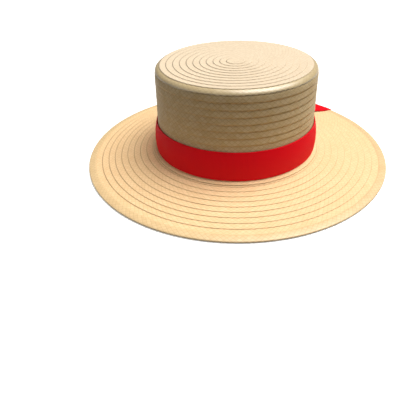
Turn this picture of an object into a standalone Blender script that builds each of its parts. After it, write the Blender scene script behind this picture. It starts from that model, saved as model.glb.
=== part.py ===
"""Straw boater hat: stiff straw crown and brim, bound brim edge, ribbon band with a flat bow.

Units are metres, +Z up. The origin is on the floor under the middle of the hat, which
rests on the flat foot of its brim edge. The back of the hat, with the bow, faces +Y.
"""

import math

import bmesh
import bpy

# Crown
CROWN_RADIUS = 0.0930  # outside, at the upper edge of the ribbon band
TOP_TAPER = 0.0020  # how much narrower the crown is under its rounded top edge
FOOT_FLARE = 0.0027  # how much wider it is where it meets the brim
CROWN_HEIGHT = 0.0964  # from the turned-out foot to the flat tip
CROWN_WALL = 0.0018
CORNER_RADIUS = 0.0080  # rounded edge between the side and the tip
FOLD_RADIUS = 0.0012  # inside the bend where the foot turns out
FLANGE_WIDTH = 0.0046  # turned-out foot, sewn down on the brim

# Brim
BRIM_WIDTH = 0.0853  # from the foot of the crown to the outer edge
BRIM_WALL = 0.0018
BRIM_SLOPE = math.radians(5.2)  # it falls away from the crown
HOLE_SETBACK = 0.0022  # how far the brim's hole lies inside the foot of the crown

# Straw row bound round the edge of the brim
EDGE_WALL = 0.0010
EDGE_LAP = 0.0082  # how far it reaches in over the brim
EDGE_NOSE = 0.0026  # solid straw in front of the brim's own edge

# Ribbon
BAND_WIDTH = 0.0313
BAND_RISE = 0.0015  # lower edge of the band above the turned-out foot
RIBBON_WALL = 0.0010
BOW_LOOP_LENGTH = 0.0540  # from the middle of the bow to the fold of a loop
BOW_LOOP_WIDTH = 0.0280
BOW_LOOP_DEPTH = 0.0075  # how far a loop stands out from the band
KNOT_WIDTH = 0.0150
KNOT_DEPTH = 0.0085
TAIL_WIDTH = 0.0315
TAIL_NECK = 0.0110  # width of a tail where it leaves the knot
TAIL_SET = 0.0072  # side step of that neck from the middle of the bow
TAIL_END_TURN = math.radians(24)  # where a tail meets the brim's edge, from straight back
TAIL_HEADING = math.radians(35)  # way a tail runs there, from straight back
TAIL_RUN = 0.0330  # length of the last, straight stretch of a tail

GAP = 0.0003  # clearance between pieces that touch
SIDES = 72  # facets round the hat
CORNER_STEPS = 6
FOLD_STEPS = 3
NOSE_STEPS = 8
LOOP_ROWS = 40
KNOT_ROWS = 24
TAIL_ROWS = 20

# Path of a bow loop, from the knot out along the band, round the fold and back.
# Columns: share of the loop's length, share of its depth, share of its width.
LOOP_SECTIONS = (
    (0.03, 0.16, 0.84),
    (0.22, 0.12, 0.93),
    (0.55, 0.11, 1.00),
    (0.86, 0.11, 1.00),
    (0.98, 0.22, 1.00),
    (1.00, 0.52, 1.00),
    (0.97, 0.80, 1.00),
    (0.84, 0.93, 1.00),
    (0.55, 0.93, 1.00),
    (0.22, 0.78, 0.93),
    (0.03, 0.62, 0.84),
)

# Path of the wrap over the middle of the bow, from above the loops to below them.
# Columns: share of half its height, share of its depth, share of its width.
KNOT_SECTIONS = (
    (1.00, 0.08, 1.00),
    (1.00, 0.45, 1.00),
    (0.96, 0.84, 0.96),
    (0.80, 0.94, 0.90),
    (0.00, 0.94, 0.84),
    (-0.80, 0.94, 0.90),
    (-0.96, 0.84, 0.96),
    (-1.00, 0.45, 1.00),
    (-1.00, 0.08, 1.00),
)

FOOT_RADIUS = CROWN_RADIUS + FOOT_FLARE
HAT_RADIUS = FOOT_RADIUS + BRIM_WIDTH
PLATE_RADIUS = HAT_RADIUS - EDGE_NOSE


def brim_under(radius):
    """Height of the underside of the brim at this radius."""
    return EDGE_WALL + GAP + (PLATE_RADIUS - radius) * math.tan(BRIM_SLOPE)


def brim_top(radius):
    return brim_under(radius) + BRIM_WALL / math.cos(BRIM_SLOPE)


def flange_top(radius):
    """Height of the crown's turned-out foot, which lies on the brim."""
    return brim_top(radius) + GAP + CROWN_WALL / math.cos(BRIM_SLOPE)


def edge_top(radius):
    """Height of the straw row that is bound over the edge of the brim."""
    return brim_top(radius) + GAP + EDGE_WALL


FOOT_HEIGHT = flange_top(FOOT_RADIUS + FOLD_RADIUS)
TIP_HEIGHT = FOOT_HEIGHT + CROWN_HEIGHT
BAND_FOOT = FOOT_HEIGHT + BAND_RISE
BAND_TOP = BAND_FOOT + BAND_WIDTH
BOW_HEIGHT = (BAND_FOOT + BAND_TOP) / 2


def side_radius(height):
    """Outside radius of the crown behind the band, a slight cone."""
    share = (BAND_TOP - height) / (BAND_TOP - FOOT_HEIGHT - FOLD_RADIUS)
    return CROWN_RADIUS + FOOT_FLARE * share


def band_radius(height):
    return side_radius(height) + GAP + RIBBON_WALL


def clear_scene():
    for obj in list(bpy.data.objects):
        bpy.data.objects.remove(obj, do_unlink=True)


def new_collection(name):
    collection = bpy.data.collections.new(name)
    bpy.context.scene.collection.children.link(collection)
    return collection


def new_material(name, colour, roughness):
    material = bpy.data.materials.new(name)
    material.use_nodes = True
    shader = material.node_tree.nodes["Principled BSDF"]
    shader.inputs["Base Color"].default_value = (*colour, 1.0)
    shader.inputs["Roughness"].default_value = roughness
    shader.inputs["Metallic"].default_value = 0.0
    material.diffuse_color = (*colour, 1.0)
    return material


def add_object(name, mesh, collection, material):
    obj = bpy.data.objects.new(name, mesh)
    mesh.materials.append(material)
    collection.objects.link(obj)
    return obj


def arc(centre, radius, start, end, steps):
    """Points on an arc in the profile plane, with both ends."""
    points = []
    for step in range(steps + 1):
        angle = start + (end - start) * step / steps
        points.append((centre[0] + radius * math.cos(angle), centre[1] + radius * math.sin(angle)))
    return points


def add_screw(obj):
    screw = obj.modifiers.new("Turned", "SCREW")
    screw.axis = "Z"
    screw.angle = math.tau
    screw.steps = SIDES
    screw.render_steps = SIDES
    screw.use_merge_vertices = True
    screw.merge_threshold = 0.00001
    screw.use_smooth_shade = True


def add_wall(obj, thickness, side):
    """Gives an open surface its wall: side 1 grows out along its normals, -1 in."""
    wall = obj.modifiers.new("Wall", "SOLIDIFY")
    wall.thickness = thickness
    wall.offset = side
    wall.use_even_offset = True


def turned(name, profile, closed, collection, material):
    """A turned shape from (radius, height) points that run down its outer side."""
    edges = [(i, i + 1) for i in range(len(profile) - 1)]
    if closed:
        edges.append((len(profile) - 1, 0))
    mesh = bpy.data.meshes.new(name)
    mesh.from_pydata([(radius, 0.0, height) for radius, height in profile], edges, [])
    obj = add_object(name, mesh, collection, material)
    add_screw(obj)
    return obj


def sheet(name, rows, columns, place, collection, material):
    """A grid of ribbon, whose points place() puts from their row and column shares."""
    shape = bmesh.new()
    bmesh.ops.create_grid(shape, x_segments=rows, y_segments=columns, size=0.5)
    for vert in shape.verts:
        vert.co = place(vert.co.x + 0.5, vert.co.y)
    mesh = bpy.data.meshes.new(name)
    shape.to_mesh(mesh)
    shape.free()
    mesh.shade_smooth()
    return add_object(name, mesh, collection, material)


def make_crown_tip(collection, straw):
    """Flat top of the crown, a disc that meets the rounded edge all round."""
    tip_radius = CROWN_RADIUS - TOP_TAPER - CORNER_RADIUS - GAP
    profile = [(share * tip_radius, TIP_HEIGHT) for share in (0.0, 0.5, 1.0)]
    tip = turned("crown_tip", profile, False, collection, straw)
    add_wall(tip, CROWN_WALL, -1)


def make_crown_side(collection, straw):
    """Rounded edge, side and turned-out foot in one shell, open above and below."""
    top_radius = CROWN_RADIUS - TOP_TAPER
    corner = (top_radius - CORNER_RADIUS, TIP_HEIGHT - CORNER_RADIUS)
    fold = (FOOT_RADIUS + FOLD_RADIUS, FOOT_HEIGHT + FOLD_RADIUS)
    flange_end = FOOT_RADIUS + FLANGE_WIDTH
    profile = arc(corner, CORNER_RADIUS, math.pi / 2, 0.0, CORNER_STEPS)
    profile += [(CROWN_RADIUS, BAND_TOP)]
    profile += arc(fold, FOLD_RADIUS, math.pi, 1.5 * math.pi, FOLD_STEPS)
    profile += [(flange_end, flange_top(flange_end))]
    side = turned("crown_side", profile, False, collection, straw)
    add_wall(side, CROWN_WALL, -1)


def make_brim(collection, straw):
    """Sloping plate with the head's hole, whose inner rim lies under the crown's foot."""
    hole = FOOT_RADIUS - HOLE_SETBACK
    middle = (hole + PLATE_RADIUS) / 2
    profile = [(radius, brim_top(radius)) for radius in (hole, middle, PLATE_RADIUS)]
    brim = turned("brim", profile, False, collection, straw)
    add_wall(brim, BRIM_WALL, -1)


def make_brim_edge(collection, straw):
    """Straw row that grips the edge of the brim from both sides; its flat foot rests on z = 0."""
    nose = edge_top(HAT_RADIUS) / 2
    lap = HAT_RADIUS - EDGE_LAP
    slot = PLATE_RADIUS + GAP
    profile = [(lap, edge_top(lap))]
    profile += arc((HAT_RADIUS - nose, nose), nose, math.pi / 2, -math.pi / 2, NOSE_STEPS)
    profile += [
        (lap, 0.0),
        (lap, brim_under(lap) - GAP),
        (slot, brim_under(slot) - GAP),
        (slot, brim_top(slot) + GAP),
        (lap, brim_top(lap) + GAP),
    ]
    turned("brim_edge", profile, True, collection, straw)


def make_band(collection, ribbon):
    profile = [(side_radius(height) + GAP, height) for height in (BAND_TOP, BAND_FOOT)]
    band = turned("ribbon_band", profile, False, collection, ribbon)
    add_wall(band, RIBBON_WALL, 1)


def on_band(along, out, height):
    """Point at this arc length from the middle of the bow, this far out from the band."""
    turn = along / band_radius(BOW_HEIGHT)
    radius = band_radius(height) + out
    return (radius * math.sin(turn), radius * math.cos(turn), height)


def section_at(table, share):
    """Values of a table of sections at this share of its length, on a smooth curve through them."""
    place = share * (len(table) - 1)
    index = min(int(place), len(table) - 2)
    t = place - index
    before = table[max(index - 1, 0)]
    after = table[min(index + 2, len(table) - 1)]
    return [
        (2 * b + (c - a) * t + (2 * a - 5 * b + 4 * c - d) * t**2 + (3 * b - a - 3 * c + d) * t**3) / 2
        for a, b, c, d in zip(before, table[index], table[index + 1], after)
    ]


def make_loop(name, side, collection, ribbon):
    """Flat loop of the bow, one ribbon that folds back on itself."""

    def place(share, across):
        along, depth, width = section_at(LOOP_SECTIONS, share)
        height = BOW_HEIGHT + side * across * width * BOW_LOOP_WIDTH
        return on_band(side * along * BOW_LOOP_LENGTH, depth * BOW_LOOP_DEPTH, height)

    loop = sheet(name, LOOP_ROWS, 2, place, collection, ribbon)
    add_wall(loop, RIBBON_WALL, 0)


def make_knot(collection, ribbon):
    """Wrap over the inner ends of both loops, turned in towards the band above and below."""
    pinched = LOOP_SECTIONS[0][2] * BOW_LOOP_WIDTH / 2
    half_height = pinched + 2 * GAP + RIBBON_WALL

    def place(share, across):
        height, depth, width = section_at(KNOT_SECTIONS, share)
        return on_band(
            across * width * KNOT_WIDTH, depth * KNOT_DEPTH, BOW_HEIGHT + height * half_height
        )

    knot = sheet("bow_knot", KNOT_ROWS, 4, place, collection, ribbon)
    add_wall(knot, RIBBON_WALL, 0)


def blend(value, start, end):
    """0 before start, 1 after end and a smooth step between them."""
    share = min(1.0, max(0.0, (value - start) / (end - start)))
    return share * share * (3 - 2 * share)


def tail_under(radius):
    """Height of the underside of a tail, over the crown's foot, the brim and its bound edge."""
    flange_end = FOOT_RADIUS + FLANGE_WIDTH
    lap = HAT_RADIUS - EDGE_LAP
    on_foot = 1 - blend(radius, flange_end, flange_end + 2 * FLANGE_WIDTH)
    on_edge = blend(radius, lap - EDGE_LAP, lap)
    lift = on_foot * (flange_top(radius) - brim_top(radius))
    lift += on_edge * (edge_top(radius) - brim_top(radius))
    return brim_top(radius) + GAP + lift


def make_tail(name, side, collection, ribbon):
    """Tail from the knot across the brim, cut off along the brim's edge."""
    start = (TAIL_SET, band_radius(BAND_FOOT) + TAIL_NECK / 2)
    end_radius = HAT_RADIUS - EDGE_WALL
    skew = TAIL_HEADING - TAIL_END_TURN
    end_spread = TAIL_WIDTH / end_radius / math.cos(skew)
    bend = (
        end_radius * math.sin(TAIL_END_TURN) - TAIL_RUN * math.sin(TAIL_HEADING),
        end_radius * math.cos(TAIL_END_TURN) - TAIL_RUN * math.cos(TAIL_HEADING),
    )
    way_out = math.atan2(bend[0] - start[0], bend[1] - start[1])
    bend_way = (way_out + TAIL_HEADING) / 2

    def place(share, across):
        across *= -side
        turn = TAIL_END_TURN + across * end_spread
        rows = (
            beside(start, way_out, across * TAIL_NECK),
            beside(bend, bend_way, across * TAIL_WIDTH),
            (end_radius * math.sin(turn), end_radius * math.cos(turn)),
        )
        weights = ((1 - share) ** 2, 2 * share * (1 - share), share**2)
        x = sum(weight * row[0] for weight, row in zip(weights, rows))
        y = sum(weight * row[1] for weight, row in zip(weights, rows))
        return (side * x, y, tail_under(math.hypot(x, y)))

    tail = sheet(name, TAIL_ROWS, 4, place, collection, ribbon)
    add_wall(tail, RIBBON_WALL, 1)


def beside(point, heading, step):
    """The point this far to the outer side of another, square to a heading from straight back."""
    return (point[0] + step * math.cos(heading), point[1] - step * math.sin(heading))


def main():
    clear_scene()
    hat = new_collection("straw_boater_hat")
    straw = new_material("straw braid", (0.86, 0.68, 0.42), 0.55)
    bound_straw = new_material("bound straw edge", (0.80, 0.60, 0.34), 0.50)
    ribbon = new_material("grosgrain ribbon", (0.62, 0.01, 0.02), 0.60)
    make_crown_tip(hat, straw)
    make_crown_side(hat, straw)
    make_brim(hat, straw)
    make_brim_edge(hat, bound_straw)
    make_band(hat, ribbon)
    make_knot(hat, ribbon)
    for name, side in (("right", -1), ("left", 1)):
        make_loop("bow_loop_" + name, side, hat, ribbon)
        make_tail("ribbon_tail_" + name, side, hat, ribbon)


main()
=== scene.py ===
"""Looks of the straw boater: sewn straw braid, bound brim edge, grosgrain band, bow and tails.

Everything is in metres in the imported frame: +Z up, the hat on the floor at z = 0, and the bow
at the back, +Y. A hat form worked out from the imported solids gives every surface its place.
"""

import logging
import math
from dataclasses import dataclass, field
from enum import Enum

import bpy
import numpy as np
from mathutils import Matrix, Vector


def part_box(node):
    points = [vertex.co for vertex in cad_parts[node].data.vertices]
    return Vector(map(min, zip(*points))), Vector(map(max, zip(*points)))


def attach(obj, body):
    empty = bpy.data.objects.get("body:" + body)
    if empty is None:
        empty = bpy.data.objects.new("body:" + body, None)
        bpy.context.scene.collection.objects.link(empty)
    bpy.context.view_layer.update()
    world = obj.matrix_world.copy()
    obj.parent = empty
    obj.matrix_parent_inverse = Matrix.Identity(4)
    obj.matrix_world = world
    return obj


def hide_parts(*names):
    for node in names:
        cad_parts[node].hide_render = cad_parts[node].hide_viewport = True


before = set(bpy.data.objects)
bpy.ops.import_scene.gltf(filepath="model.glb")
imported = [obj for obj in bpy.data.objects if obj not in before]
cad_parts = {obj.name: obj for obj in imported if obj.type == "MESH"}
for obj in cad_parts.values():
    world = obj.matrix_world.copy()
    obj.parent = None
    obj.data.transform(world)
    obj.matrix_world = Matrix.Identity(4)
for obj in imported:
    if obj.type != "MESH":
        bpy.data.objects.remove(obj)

LOG = logging.getLogger("boater")
BODY = "root"
MILLIMETRE = 0.001
PLAIT_UV = "plait"
RIBBON_UV = "ribbon"
SHADER = "Principled BSDF"
GOLDEN_ANGLE = math.pi * (3 - math.sqrt(5))
ARC_STEP = 0.0003
RIB_PITCH = 0.0012
RIB_STEPS = 4
RIB_RISE = 0.00010
BEAD_WIDTH = 0.0011
BEAD_RISE = 0.00006


class Slot(Enum):
    """Material slots of the record."""

    STRAW = "straw"
    STRAW_EDGE = "straw_edge"
    RIBBON = "ribbon"


class Hold(Enum):
    """Ways in which a ribbon keeps its place."""

    STRETCHED = "stretched"
    FOLDED = "folded"
    LAID = "laid"


class Side(Enum):
    """Sides of the hat, as the wearer has them, with the sign of their x."""

    LEFT = 1
    RIGHT = -1

    @property
    def word(self) -> str:
        """The side's name in the names of its pieces."""
        return self.name.lower()


def linear_colour(hex_colour: str) -> tuple[float, float, float, float]:
    """Turns an sRGB hex colour into linear red, green, blue and alpha.

    Args:
        hex_colour: Six hex digits after a #.

    Returns:
        The linear colour, opaque.
    """
    shares = [int(hex_colour[i : i + 2], 16) / 255 for i in (1, 3, 5)]
    linear = [s / 12.92 if s <= 0.04045 else ((s + 0.055) / 1.055) ** 2.4 for s in shares]
    return (linear[0], linear[1], linear[2], 1.0)


def blend(value: np.ndarray, start: float, end: float) -> np.ndarray:
    """Smooth step: 0 before start, 1 after end, and 3 t^2 - 2 t^3 between them.

    Args:
        value: Where the step is read.
        start: Value where it leaves 0.
        end: Value where it reaches 1.

    Returns:
        The step at each value.
    """
    share = np.clip((value - start) / (end - start), 0.0, 1.0)
    return share * share * (3 - 2 * share)


@dataclass(frozen=True)
class NodeRow:
    """A node of a finish: its name there, type, options and inputs, and the output used.

    An input is a value, or the name of an earlier row whose output is linked to it.
    """

    name: str
    kind: str
    settings: dict
    inputs: dict
    output: int | str = 0


def set_inputs(
    tree: bpy.types.NodeTree,
    node: bpy.types.ShaderNode,
    inputs: dict,
    outputs: dict[str, bpy.types.NodeSocket],
) -> None:
    """Sets a node's inputs, or links them to the outputs of others.

    Args:
        tree: The node tree.
        node: The node.
        inputs: Socket names or numbers, each with a value or the name of an output.
        outputs: The outputs by name.
    """
    for key, value in inputs.items():
        if isinstance(value, str):
            tree.links.new(outputs[value], node.inputs[key])
        else:
            node.inputs[key].default_value = value


def add_node(
    tree: bpy.types.NodeTree, row: NodeRow, outputs: dict[str, bpy.types.NodeSocket]
) -> None:
    """Adds a node with its settings and links, and keeps its output under its name.

    Args:
        tree: The node tree.
        row: The node.
        outputs: The outputs by name, to which its own is added.
    """
    node = tree.nodes.new(f"ShaderNode{row.kind}")
    for key, value in row.settings.items():
        setattr(node, key, value)
    set_inputs(tree, node, row.inputs, outputs)
    outputs[row.name] = node.outputs[row.output]


def build_material(
    name: str, rows: list[NodeRow], inputs: dict, shown: str
) -> bpy.types.Material:
    """Makes a material from the nodes before its main shader and that shader's inputs.

    Args:
        name: The material's name.
        rows: The nodes, in order.
        inputs: The shader's inputs, each a value or the name of a row.
        shown: Its sRGB colour in plain views.

    Returns:
        The material.
    """
    made = bpy.data.materials.new(name)
    made.use_nodes = True
    outputs: dict[str, bpy.types.NodeSocket] = {}
    for row in rows:
        add_node(made.node_tree, row, outputs)
    set_inputs(made.node_tree, made.node_tree.nodes[SHADER], inputs, outputs)
    made.diffuse_color = linear_colour(shown)
    return made


@dataclass
class MeshParts:
    """Points, quads and each quad's corner UVs, before they go into a mesh."""

    points: np.ndarray
    quads: np.ndarray
    uvs: np.ndarray

    @staticmethod
    def joined(parts: list["MeshParts"]) -> "MeshParts":
        """Puts several sets of parts into one, with their quads renumbered.

        Args:
            parts: The sets, which share no points.

        Returns:
            One set that holds them all.
        """
        starts = np.cumsum([0] + [len(part.points) for part in parts[:-1]])
        return MeshParts(
            np.concatenate([part.points for part in parts]),
            np.concatenate([part.quads + start for part, start in zip(parts, starts)]),
            np.concatenate([part.uvs for part in parts]),
        )


def place_piece(
    parts: MeshParts, name: str, slot: Slot, material: bpy.types.Material, *nodes: str
) -> bpy.types.Object:
    """Makes a smooth shaded piece of the hat's one body, at the origin.

    Args:
        parts: Its points, quads and UVs.
        name: Its name.
        slot: Which of the record's slots it belongs to; here it only picks the name of its UV map.
        material: Its only material.
        nodes: Names of the solids that it stands for.

    Returns:
        The linked piece.
    """
    quads = len(parts.quads)
    mesh = bpy.data.meshes.new(name)
    mesh.vertices.add(len(parts.points))
    mesh.vertices.foreach_set("co", parts.points.astype(np.float32).ravel())
    mesh.loops.add(4 * quads)
    mesh.polygons.add(quads)
    mesh.polygons.foreach_set("loop_start", np.arange(quads, dtype=np.int32) * 4)
    mesh.polygons.foreach_set("vertices", parts.quads.astype(np.int32).ravel())
    uv_name = RIBBON_UV if slot is Slot.RIBBON else PLAIT_UV
    layer = mesh.uv_layers.new(name=uv_name)
    layer.data.foreach_set("uv", parts.uvs.astype(np.float32).ravel())
    mesh.update(calc_edges=True)
    mesh.validate()
    mesh.shade_smooth()
    mesh.materials.append(material)
    piece = bpy.data.objects.new(name, mesh)
    bpy.context.scene.collection.objects.link(piece)
    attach(piece, BODY)
    if nodes:
        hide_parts(*nodes)
    LOG.info("%s: %d faces", name, quads)
    return piece


def length_run(line: np.ndarray) -> np.ndarray:
    """Length run along a line in a plane up to each of its points."""
    return np.concatenate([[0.0], np.cumsum(np.hypot(*np.diff(line, axis=0).T))])


class Meridian:
    """A line from the middle of the hat outwards, in the plane of radius and height."""

    NORMAL_REACH = 0.0004

    def __init__(self, corners: np.ndarray) -> None:
        """Keeps the line's corners and the length run up to each.

        Args:
            corners: Radius and height of each corner, in order along the line.
        """
        self.corners = corners
        self.run = length_run(corners)

    @property
    def length(self) -> float:
        """Length of the whole line."""
        return float(self.run[-1])

    def at(self, along: np.ndarray) -> np.ndarray:
        """Radius and height at lengths along the line, straight on past its ends.

        Args:
            along: Lengths from its start.

        Returns:
            An array like along with a last axis of radius and height.
        """
        inside = np.clip(along, 0.0, self.length)
        spot = np.stack([np.interp(inside, self.run, axis) for axis in self.corners.T], axis=-1)
        first = (self.corners[1] - self.corners[0]) / self.run[1]
        last = (self.corners[-1] - self.corners[-2]) / (self.run[-1] - self.run[-2])
        before = np.minimum(along, 0.0)[..., None] * first
        after = np.maximum(along - self.length, 0.0)[..., None] * last
        return spot + before + after

    def normals(self, along: np.ndarray) -> np.ndarray:
        """Outward normal, square to the chord between two points close before and after.

        Args:
            along: Lengths from the line's start.

        Returns:
            An array like along with a last axis of radial and upward share.
        """
        chord = self.at(along + self.NORMAL_REACH) - self.at(along - self.NORMAL_REACH)
        chord /= np.linalg.norm(chord, axis=-1, keepdims=True)
        return np.stack([-chord[..., 1], chord[..., 0]], axis=-1)


def arc_points(
    centre: tuple[float, float], radius: float, start: float, end: float
) -> np.ndarray:
    """Points on an arc in the meridian plane, about ARC_STEP apart, with both ends.

    Args:
        centre: Radius and height of its centre.
        radius: Its own radius.
        start: Angle of its first point, from straight out.
        end: Angle of its last point.

    Returns:
        Radius and height of each point.
    """
    steps = max(4, round(abs(end - start) * radius / ARC_STEP))
    angle = np.linspace(start, end, steps + 1)
    return np.array(centre) + radius * np.stack([np.cos(angle), np.sin(angle)], axis=-1)


@dataclass(frozen=True)
class HatForm:
    """Outer surface of the hat's solids, which every straw row and ribbon follows."""

    crown_radius: float = 0.0930
    top_taper: float = 0.0020
    foot_flare: float = 0.0027
    foot_reach: float = 0.0012  # how much further the sewn foot lies out than the solid one
    foot_lie: float = 0.0005  # height of its outer edge over the brim
    corner_radius: float = 0.0080
    fold_radius: float = 0.0012
    fold_end: float = 1.4 * math.pi  # angle at which the fold has turned out far enough
    slope: float = math.radians(5.2)
    edge_lap: float = 0.0096  # how far in from the rim the bound edge is sewn down
    edge_lie: float = 0.0003  # height of the bound edge over the brim
    edge_roll: float = 0.0076  # how far in from the rim the bound edge starts to turn down
    edge_nose: float = 0.0016  # rounding where it turns under
    nose_start: float = math.radians(50)
    roll_power: float = 1.6
    roll_points: int = 25
    edge_tuck: float = 0.0053  # how much earlier the plate's rows end, under the bound edge
    gap: float = 0.0003
    tip_height: float = field(default_factory=lambda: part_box("crown_tip")[1][2])
    foot_end: float = field(default_factory=lambda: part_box("crown_side")[1][0])
    brim_crest: float = field(default_factory=lambda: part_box("brim")[1][2])
    brim_radius: float = field(default_factory=lambda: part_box("brim")[1][0])
    hat_radius: float = field(default_factory=lambda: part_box("brim_edge")[1][0])
    band_foot: float = field(default_factory=lambda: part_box("ribbon_band")[0][2])
    band_top: float = field(default_factory=lambda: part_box("ribbon_band")[1][2])
    crown_wall: float = 0.0018
    edge_wall: float = 0.0010
    ribbon_wall: float = 0.0010
    hole_setback: float = 0.0022

    @property
    def foot_radius(self) -> float:
        """Radius of the crown where it meets the brim."""
        return self.crown_radius + self.foot_flare

    @property
    def hole_radius(self) -> float:
        """Radius of the brim's hole, a little inside the foot of the crown."""
        return self.foot_radius - self.hole_setback

    def brim_top(self, radius: np.ndarray) -> np.ndarray:
        """Height of the brim's upper face, which falls away from its crest at the hole."""
        return self.brim_crest - (radius - self.hole_radius) * math.tan(self.slope)

    def foot_top(self, radius: np.ndarray) -> np.ndarray:
        """Height of the crown's turned-out foot, which lies on the brim."""
        return self.brim_top(radius) + self.gap + self.crown_wall / math.cos(self.slope)

    @property
    def nose_top(self) -> tuple[float, float]:
        """Radius and height of the place where the bound edge's roll meets its nose."""
        out = self.hat_radius - self.edge_nose * (1 - math.cos(self.nose_start))
        return out, self.edge_nose * (1 + math.sin(self.nose_start))

    def edge_cover(self, radius: np.ndarray) -> np.ndarray:
        """Height of the bound edge: parallel to the brim, then its roll down to the nose.

        The roll falls by a power of the share of the way across it.

        Args:
            radius: Where to read it.

        Returns:
            The height at each radius.
        """
        start = self.hat_radius - self.edge_roll
        end, low = self.nose_top
        share = np.clip((radius - start) / (end - start), 0.0, 1.0)
        top = self.brim_top(np.minimum(radius, start)) + self.edge_lie
        return top + share**self.roll_power * (low - top)

    @property
    def foot_height(self) -> float:
        """Height where the crown's side turns out into its foot."""
        return self.foot_top(self.foot_radius + self.fold_radius)

    def side_radius(self, height: np.ndarray) -> np.ndarray:
        """Outside radius of the crown behind the band, a slight cone."""
        reach = self.band_top - self.foot_height - self.fold_radius
        return self.crown_radius + self.foot_flare * (self.band_top - height) / reach

    def band_radius(self, height: np.ndarray) -> np.ndarray:
        """Outside radius of the ribbon band."""
        return self.side_radius(height) + self.gap + self.ribbon_wall

    @property
    def bow_height(self) -> float:
        """Height of the middle of the band and the bow."""
        return (self.band_foot + self.band_top) / 2

    def crown_meridian(self) -> Meridian:
        """Flat tip, rounded edge, side, fold and the foot, which settles onto the brim.

        Returns:
            The line, of straights and arcs.
        """
        sewn_end = self.foot_end + self.foot_reach
        top_radius = self.crown_radius - self.top_taper
        corner = (top_radius - self.corner_radius, self.tip_height - self.corner_radius)
        fold = (self.foot_radius + self.fold_radius, self.foot_height + self.fold_radius)
        return Meridian(
            np.concatenate(
                [
                    [(0.0, self.tip_height)],
                    arc_points(corner, self.corner_radius, math.pi / 2, 0.0),
                    [(self.crown_radius, self.band_top)],
                    arc_points(fold, self.fold_radius, math.pi, self.fold_end),
                    [(sewn_end, self.brim_top(sewn_end) + self.foot_lie)],
                ]
            )
        )

    def brim_meridian(self) -> Meridian:
        """Upper face of the brim, from its hole to its edge."""
        ends = np.array([self.hole_radius, self.brim_radius - self.edge_tuck])
        return Meridian(np.stack([ends, self.brim_top(ends)], axis=-1))

    def edge_meridian(self) -> Meridian:
        """Outside of the bound edge: its sunk inner rim, its cover, the nose and the foot.

        Returns:
            The line, which ends under its start, on the floor.
        """
        nose = self.edge_nose
        lap = self.hat_radius - self.edge_lap
        start = self.hat_radius - self.edge_roll
        first = [(lap, self.brim_top(lap) - self.edge_lie)]
        out = np.linspace(start, self.nose_top[0], self.roll_points)
        cover = np.stack([out, self.edge_cover(out)], axis=-1)
        under = arc_points((self.hat_radius - nose, nose), nose, self.nose_start, -math.pi / 2)
        return Meridian(np.concatenate([first, cover, under[1:], [(lap, 0.0)]]))


def plait_height(along: np.ndarray, across: np.ndarray) -> np.ndarray:
    """Height of a plait, 0 on the borders of its diamonds and 1 in their middles.

    The borders lie where along + across and along - across are whole numbers, and the height
    is the product of two parabolas, one between each pair of borders.

    Args:
        along: Length along the plait, in plait periods.
        across: Way across it, in diamond widths.

    Returns:
        The height at each point.
    """
    first = (along + across) % 1.0
    second = (along - across) % 1.0
    return (1 - (2 * first - 1) ** 2) * (1 - (2 * second - 1) ** 2)


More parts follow.
